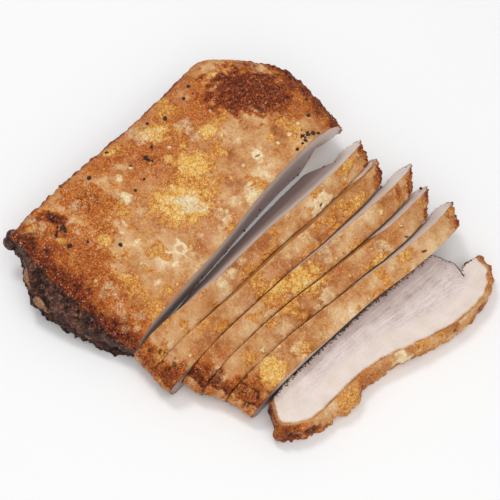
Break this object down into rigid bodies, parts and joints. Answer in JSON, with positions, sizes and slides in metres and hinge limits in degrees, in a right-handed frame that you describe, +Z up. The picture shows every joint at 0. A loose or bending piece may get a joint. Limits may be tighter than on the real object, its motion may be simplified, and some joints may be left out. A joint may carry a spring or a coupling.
{
  "type": "roast pork belly",
  "caption": "Roast pork belly with crackling rind: an uncut block, slices standing beside it in a row, and a slice lying cut face up.",
  "frame": {"origin": "on the board, under the middle of the whole row's box", "axes": "+Z up, +Y along the cuts towards the thick end, +X from the uncut block along the row of slices"},
  "size_m": [0.2526, 0.2498, 0.0464],
  "materials": {
    "crackling": "blistered golden brown roast rind, semi-gloss",
    "cut_meat": "moist cut face of white fat over pale pink-grey lean"
  },
  "bodies": {
    "root": {"block": "crackling", "slice_1": "crackling", "slice_2": "crackling", "slice_3": "crackling", "slice_4": "crackling", "slice_5": "crackling", "slice_6": "cut_meat"}
  },
  "joints": []
}
